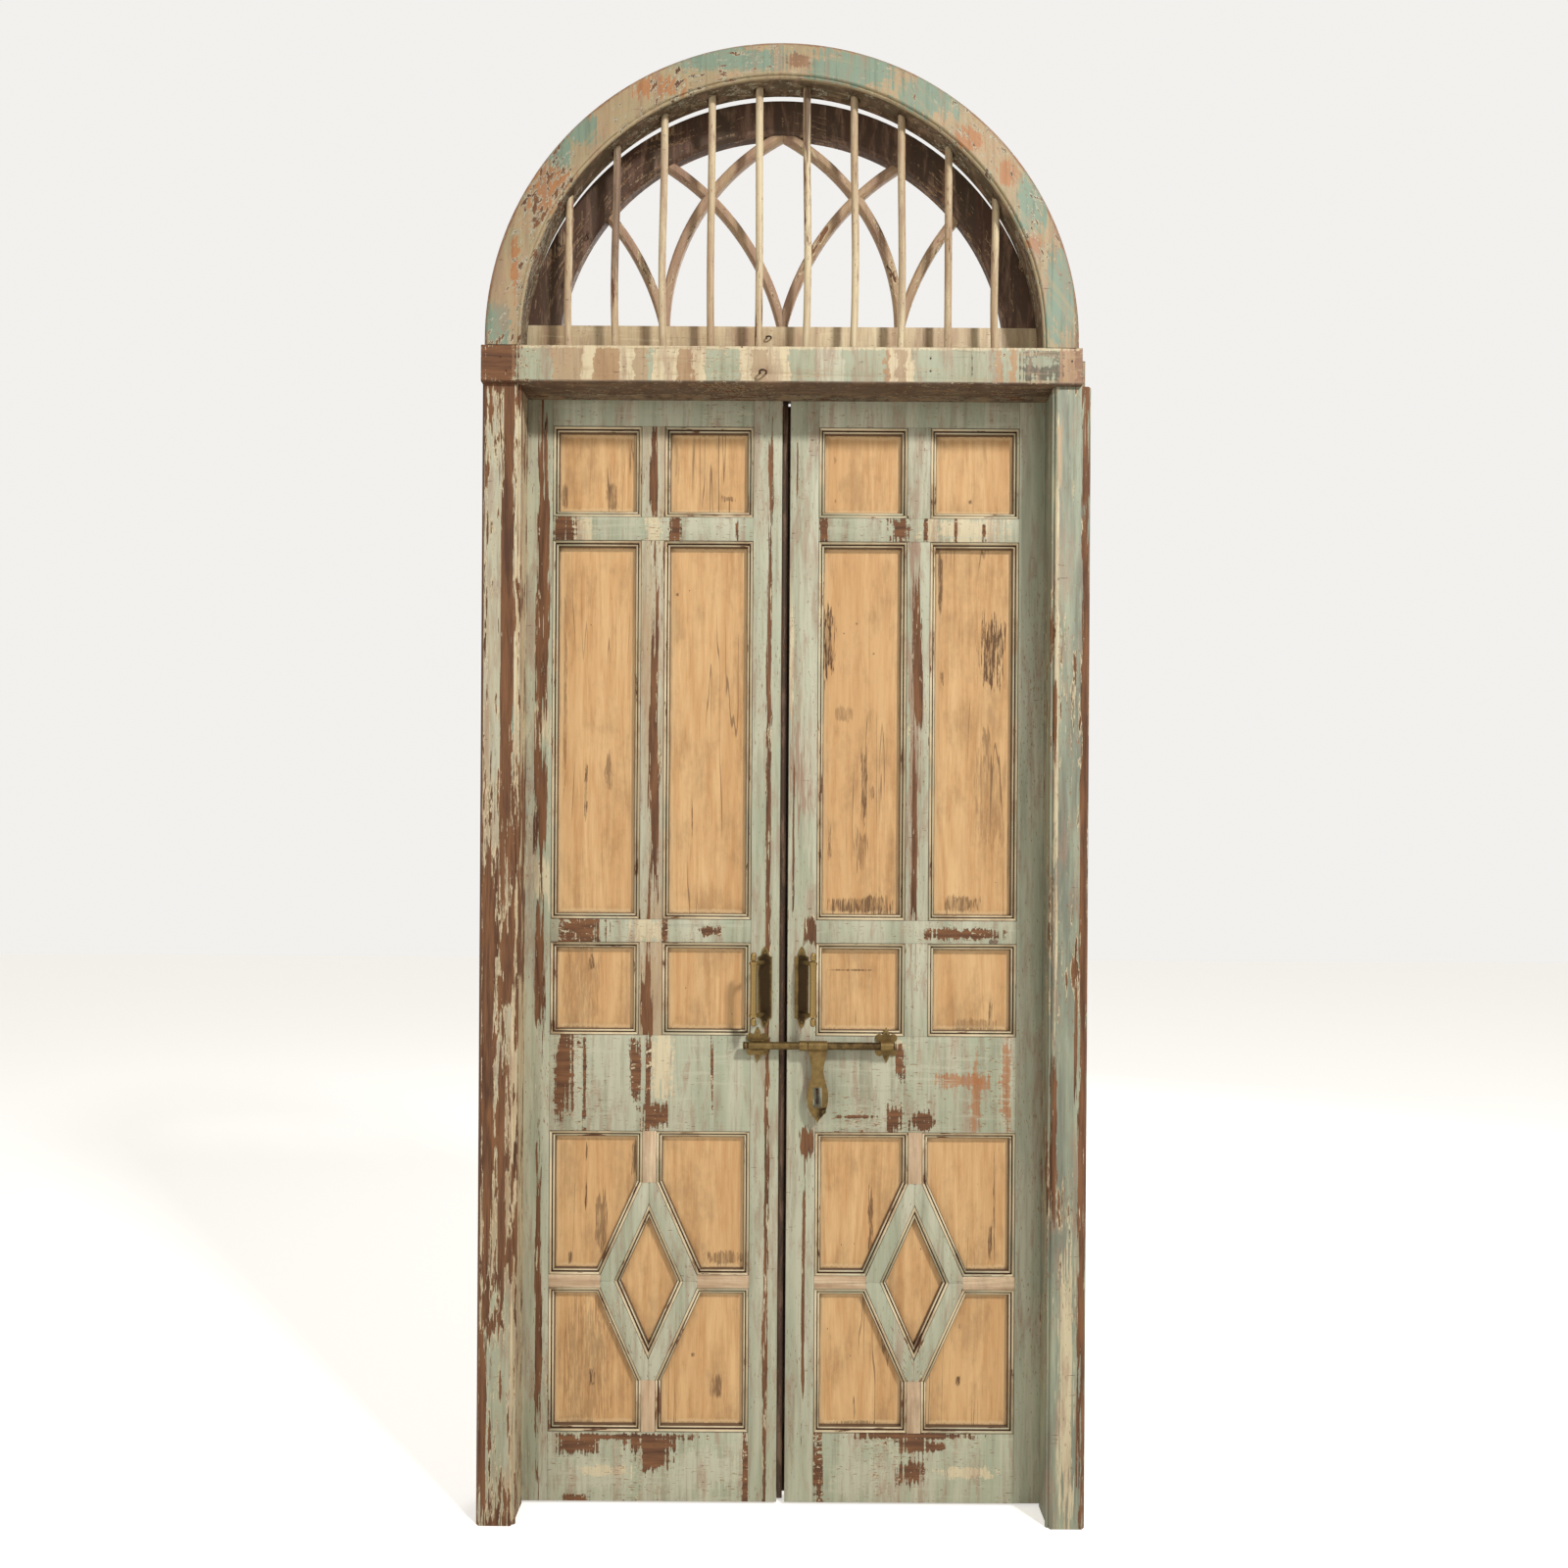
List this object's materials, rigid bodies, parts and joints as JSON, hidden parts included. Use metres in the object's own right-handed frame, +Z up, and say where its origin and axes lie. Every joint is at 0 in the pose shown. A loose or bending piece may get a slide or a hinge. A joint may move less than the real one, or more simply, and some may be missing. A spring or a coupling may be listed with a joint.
{
  "type": "arched double door",
  "caption": "Weathered panelled double door in a frame, with an arched bar grille and a pointed-tracery sash above, pull handles, sliding bolt and hasp.",
  "frame": {"origin": "bottom centre of the bounding box, on the floor between the jambs' feet", "axes": "+Z up, +X to the right as seen from the front, -Y the front with the handles"},
  "size_m": [1.25, 0.1624, 3.041],
  "materials": {
    "frame_paint": "worn sage paint over brown wood",
    "arch_paint": "worn tan paint with traces of teal",
    "bar_paint": "worn cream paint",
    "sash_wood": "dry bare wood with traces of paint",
    "leaf_paint": "worn sage paint over brown wood",
    "bare_wood": "dry bare wood",
    "panel_wood": "dry bare wood with dark streaks",
    "moulding_paint": "worn cream paint",
    "brass": "dull aged",
    "iron": "dark, lightly rusted"
  },
  "bodies": {
    "frame": {"left_jamb": "frame_paint", "right_jamb": "frame_paint", "frame_head": "frame_paint", "transom_rail": "arch_paint", "arch_left_haunch": "arch_paint", "arch_left_crown": "arch_paint", "arch_right_crown": "arch_paint", "arch_right_haunch": "arch_paint", "grille_bars": "bar_paint", "sash_rim": "sash_wood", "sash_bottom_rail": "sash_wood", "sash_tracery_left": "sash_wood", "sash_tracery_right": "sash_wood", "sash_staples": "iron", "lintel_staple": "iron", "left_hinge_frame_halves": "iron", "right_hinge_frame_halves": "iron", "hinge_pins": "iron"},
    "left_leaf": {"left_hanging_stile": "leaf_paint", "left_meeting_stile": "leaf_paint", "left_top_rail": "leaf_paint", "left_upper_rail": "leaf_paint", "left_middle_rail": "leaf_paint", "left_lock_rail": "leaf_paint", "left_bottom_rail": "leaf_paint", "left_mullions": "leaf_paint", "left_lower_muntins": "bare_wood", "left_diamond_frame": "leaf_paint", "left_small_panels": "panel_wood", "left_tall_panels": "panel_wood", "left_square_panels": "panel_wood", "left_corner_panels": "panel_wood", "left_diamond_panel": "panel_wood", "left_mouldings": "moulding_paint", "left_hinge_leaf_halves": "iron", "left_handle": "brass", "bolt_keeper": "brass"},
    "right_leaf": {"right_hanging_stile": "leaf_paint", "right_meeting_stile": "leaf_paint", "right_top_rail": "leaf_paint", "right_upper_rail": "leaf_paint", "right_middle_rail": "leaf_paint", "right_lock_rail": "leaf_paint", "right_bottom_rail": "leaf_paint", "right_mullions": "leaf_paint", "right_lower_muntins": "bare_wood", "right_diamond_frame": "leaf_paint", "right_small_panels": "panel_wood", "right_tall_panels": "panel_wood", "right_square_panels": "panel_wood", "right_corner_panels": "panel_wood", "right_diamond_panel": "panel_wood", "right_mouldings": "moulding_paint", "right_hinge_leaf_halves": "iron", "right_handle": "brass", "bolt_guides": "brass", "hasp_staple": "iron"},
    "bolt_rod": {"bolt_rod": "brass"},
    "hasp": {"hasp": "brass"}
  },
  "joints": [
    {"name": "left_leaf_swing", "type": "hinge", "parent": "frame", "child": "left_leaf", "pos_m": [-0.5575, 0.07575, 0], "axis": [0, 0, 1], "range_deg": [0, 110]},
    {"name": "right_leaf_swing", "type": "hinge", "parent": "frame", "child": "right_leaf", "pos_m": [0.5575, 0.07575, 0], "axis": [0, 0, -1], "range_deg": [0, 80]},
    {"name": "bolt_slide", "type": "slide", "parent": "right_leaf", "child": "bolt_rod", "axis": [1, 0, 0], "range_m": [0, 0.076]},
    {"name": "hasp_lift", "type": "hinge", "parent": "bolt_rod", "child": "hasp", "pos_m": [0.0735, 0.01025, 0.978], "axis": [-1, 0, 0], "range_deg": [0, 130]}
  ],
  "couplings": [
    {"joint": "right_leaf_swing", "follows": "left_leaf_swing", "ratio": 0.72},
    {"joint": "bolt_slide", "follows": "hasp_lift", "m_per_rad": 0.0334}
  ]
}
